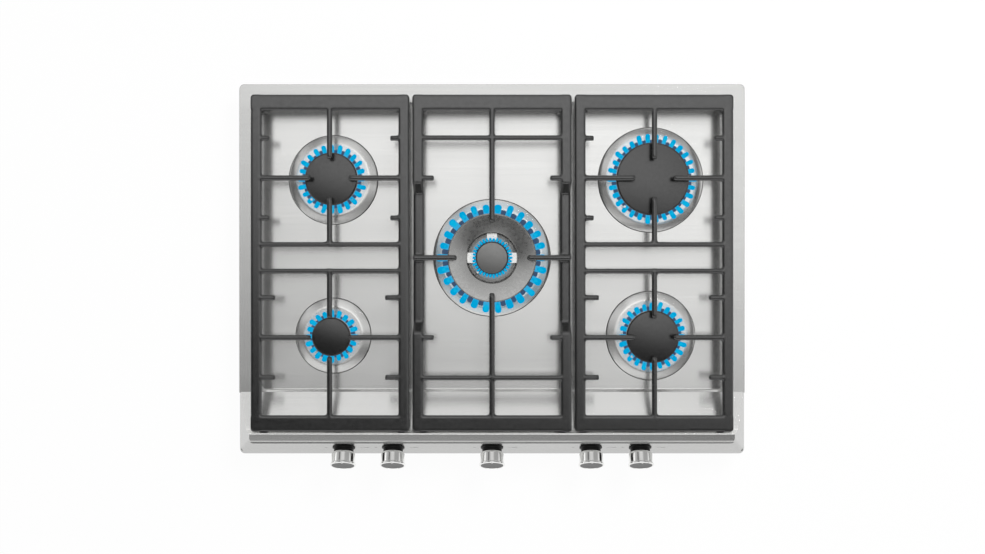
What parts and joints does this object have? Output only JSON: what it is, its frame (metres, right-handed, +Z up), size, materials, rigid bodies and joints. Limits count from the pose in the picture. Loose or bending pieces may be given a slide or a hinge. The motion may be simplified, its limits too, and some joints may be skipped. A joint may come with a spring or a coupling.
{
  "type": "gas cooktop",
  "caption": "Built-in stainless gas hob with a raised front console, a double-ring wok burner amid smaller burners, cast-iron grates and chrome knobs on the sloping front panel.",
  "frame": {"origin": "centre of the bounding box at the underside of the bottom casing", "axes": "+X to the right seen from the front, +Y to the back, +Z up; the knobs face -Y"},
  "size_m": [0.7, 0.5304, 0.1015],
  "materials": {
    "hob_steel": "fine brushed stainless sheet, grain from side to side",
    "grate_iron": "matt dark grey enamelled casting",
    "cap_enamel": "matt black vitreous enamel",
    "burner_aluminium": "cast, slightly rough",
    "knob_chrome": "polished chrome",
    "bezel_plastic": "black",
    "tap_brass": "machined brass",
    "casing_steel": "galvanised sheet",
    "electrode_ceramic": "white glazed ceramic with a steel tip",
    "seal_foam": "closed-cell foam strip",
    "module_plastic": "black moulded case"
  },
  "bodies": {
    "base": {"hob_top": "hob_steel", "bottom_casing": "casing_steel", "rim_seal": "seal_foam", "gas_rail": "casing_steel", "inlet_elbow": "tap_brass", "ignition_module": "module_plastic", "left_front_burner_cup": "burner_aluminium", "left_front_spark_electrode": "electrode_ceramic", "left_front_knob_bezel": "bezel_plastic", "left_front_tap_body": "tap_brass", "left_front_feed_pipe": "burner_aluminium", "left_back_burner_cup": "burner_aluminium", "left_back_spark_electrode": "electrode_ceramic", "left_back_knob_bezel": "bezel_plastic", "left_back_tap_body": "tap_brass", "left_back_feed_pipe": "burner_aluminium", "wok_burner_cup": "burner_aluminium", "wok_spark_electrode": "electrode_ceramic", "wok_knob_bezel": "bezel_plastic", "wok_tap_body": "tap_brass", "wok_feed_pipe": "burner_aluminium", "right_back_burner_cup": "burner_aluminium", "right_back_spark_electrode": "electrode_ceramic", "right_back_knob_bezel": "bezel_plastic", "right_back_tap_body": "tap_brass", "right_back_feed_pipe": "burner_aluminium", "right_front_burner_cup": "burner_aluminium", "right_front_spark_electrode": "electrode_ceramic", "right_front_knob_bezel": "bezel_plastic", "right_front_tap_body": "tap_brass", "right_front_feed_pipe": "burner_aluminium"},
    "left_grate": {"grate_left": "grate_iron"},
    "centre_grate": {"grate_centre": "grate_iron"},
    "right_grate": {"grate_right": "grate_iron"},
    "left_front_crown": {"left_front_burner_crown": "burner_aluminium"},
    "left_front_cap": {"left_front_burner_cap": "cap_enamel"},
    "left_back_crown": {"left_back_burner_crown": "burner_aluminium"},
    "left_back_cap": {"left_back_burner_cap": "cap_enamel"},
    "wok_crown": {"wok_burner_crown": "burner_aluminium"},
    "wok_cap": {"wok_burner_cap": "cap_enamel"},
    "right_back_crown": {"right_back_burner_crown": "burner_aluminium"},
    "right_back_cap": {"right_back_burner_cap": "cap_enamel"},
    "right_front_crown": {"right_front_burner_crown": "burner_aluminium"},
    "right_front_cap": {"right_front_burner_cap": "cap_enamel"},
    "wok_inner_cap": {"wok_inner_cap": "cap_enamel"},
    "left_front_plug": {"left_front_tap_plug": "tap_brass"},
    "left_front_control": {"left_front_knob": "knob_chrome", "left_front_tap_stem": "tap_brass"},
    "left_back_plug": {"left_back_tap_plug": "tap_brass"},
    "left_back_control": {"left_back_knob": "knob_chrome", "left_back_tap_stem": "tap_brass"},
    "wok_plug": {"wok_tap_plug": "tap_brass"},
    "wok_control": {"wok_knob": "knob_chrome", "wok_tap_stem": "tap_brass"},
    "right_back_plug": {"right_back_tap_plug": "tap_brass"},
    "right_back_control": {"right_back_knob": "knob_chrome", "right_back_tap_stem": "tap_brass"},
    "right_front_plug": {"right_front_tap_plug": "tap_brass"},
    "right_front_control": {"right_front_knob": "knob_chrome", "right_front_tap_stem": "tap_brass"}
  },
  "joints": [
    {"name": "left_grate_lift", "type": "slide", "parent": "base", "child": "left_grate", "axis": [0, 0, 1], "range_m": [0, 0.08]},
    {"name": "centre_grate_lift", "type": "slide", "parent": "base", "child": "centre_grate", "axis": [0, 0, 1], "range_m": [0, 0.08]},
    {"name": "right_grate_lift", "type": "slide", "parent": "base", "child": "right_grate", "axis": [0, 0, 1], "range_m": [0, 0.08]},
    {"name": "left_front_crown_lift", "type": "slide", "parent": "base", "child": "left_front_crown", "axis": [0, 0, 1], "range_m": [0, 0.0045]},
    {"name": "left_front_cap_lift", "type": "slide", "parent": "left_front_crown", "child": "left_front_cap", "axis": [0, 0, 1], "range_m": [0, 0.0045]},
    {"name": "left_back_crown_lift", "type": "slide", "parent": "base", "child": "left_back_crown", "axis": [0, 0, 1], "range_m": [0, 0.0045]},
    {"name": "left_back_cap_lift", "type": "slide", "parent": "left_back_crown", "child": "left_back_cap", "axis": [0, 0, 1], "range_m": [0, 0.0045]},
    {"name": "wok_crown_lift", "type": "slide", "parent": "base", "child": "wok_crown", "axis": [0, 0, 1], "range_m": [0, 0.0045]},
    {"name": "wok_cap_lift", "type": "slide", "parent": "wok_crown", "child": "wok_cap", "axis": [0, 0, 1], "range_m": [0, 0.0045]},
    {"name": "right_back_crown_lift", "type": "slide", "parent": "base", "child": "right_back_crown", "axis": [0, 0, 1], "range_m": [0, 0.0045]},
    {"name": "right_back_cap_lift", "type": "slide", "parent": "right_back_crown", "child": "right_back_cap", "axis": [0, 0, 1], "range_m": [0, 0.0045]},
    {"name": "right_front_crown_lift", "type": "slide", "parent": "base", "child": "right_front_crown", "axis": [0, 0, 1], "range_m": [0, 0.0045]},
    {"name": "right_front_cap_lift", "type": "slide", "parent": "right_front_crown", "child": "right_front_cap", "axis": [0, 0, 1], "range_m": [0, 0.0045]},
    {"name": "wok_inner_cap_lift", "type": "slide", "parent": "wok_crown", "child": "wok_inner_cap", "axis": [0, 0, 1], "range_m": [0, 0.0045]},
    {"name": "left_front_knob_turn", "type": "hinge", "parent": "base", "child": "left_front_plug", "pos_m": [-0.2025, -0.23448, 0.075], "axis": [0, -0.9063, 0.4226], "range_deg": [0, 210]},
    {"name": "left_front_knob_push", "type": "slide", "parent": "left_front_plug", "child": "left_front_control", "axis": [0, 0.9063, -0.4226], "range_m": [0, 0.003], "stiffness_N_per_m": 1500, "springref_m": -0.002},
    {"name": "left_back_knob_turn", "type": "hinge", "parent": "base", "child": "left_back_plug", "pos_m": [-0.135, -0.23448, 0.075], "axis": [0, -0.9063, 0.4226], "range_deg": [0, 210]},
    {"name": "left_back_knob_push", "type": "slide", "parent": "left_back_plug", "child": "left_back_control", "axis": [0, 0.9063, -0.4226], "range_m": [0, 0.003], "stiffness_N_per_m": 1500, "springref_m": -0.002},
    {"name": "wok_knob_turn", "type": "hinge", "parent": "base", "child": "wok_plug", "pos_m": [0, -0.23448, 0.075], "axis": [0, -0.9063, 0.4226], "range_deg": [0, 210]},
    {"name": "wok_knob_push", "type": "slide", "parent": "wok_plug", "child": "wok_control", "axis": [0, 0.9063, -0.4226], "range_m": [0, 0.003], "stiffness_N_per_m": 1500, "springref_m": -0.002},
    {"name": "right_back_knob_turn", "type": "hinge", "parent": "base", "child": "right_back_plug", "pos_m": [0.135, -0.23448, 0.075], "axis": [0, -0.9063, 0.4226], "range_deg": [0, 210]},
    {"name": "right_back_knob_push", "type": "slide", "parent": "right_back_plug", "child": "right_back_control", "axis": [0, 0.9063, -0.4226], "range_m": [0, 0.003], "stiffness_N_per_m": 1500, "springref_m": -0.002},
    {"name": "right_front_knob_turn", "type": "hinge", "parent": "base", "child": "right_front_plug", "pos_m": [0.2025, -0.23448, 0.075], "axis": [0, -0.9063, 0.4226], "range_deg": [0, 210]},
    {"name": "right_front_knob_push", "type": "slide", "parent": "right_front_plug", "child": "right_front_control", "axis": [0, 0.9063, -0.4226], "range_m": [0, 0.003], "stiffness_N_per_m": 1500, "springref_m": -0.002}
  ]
}
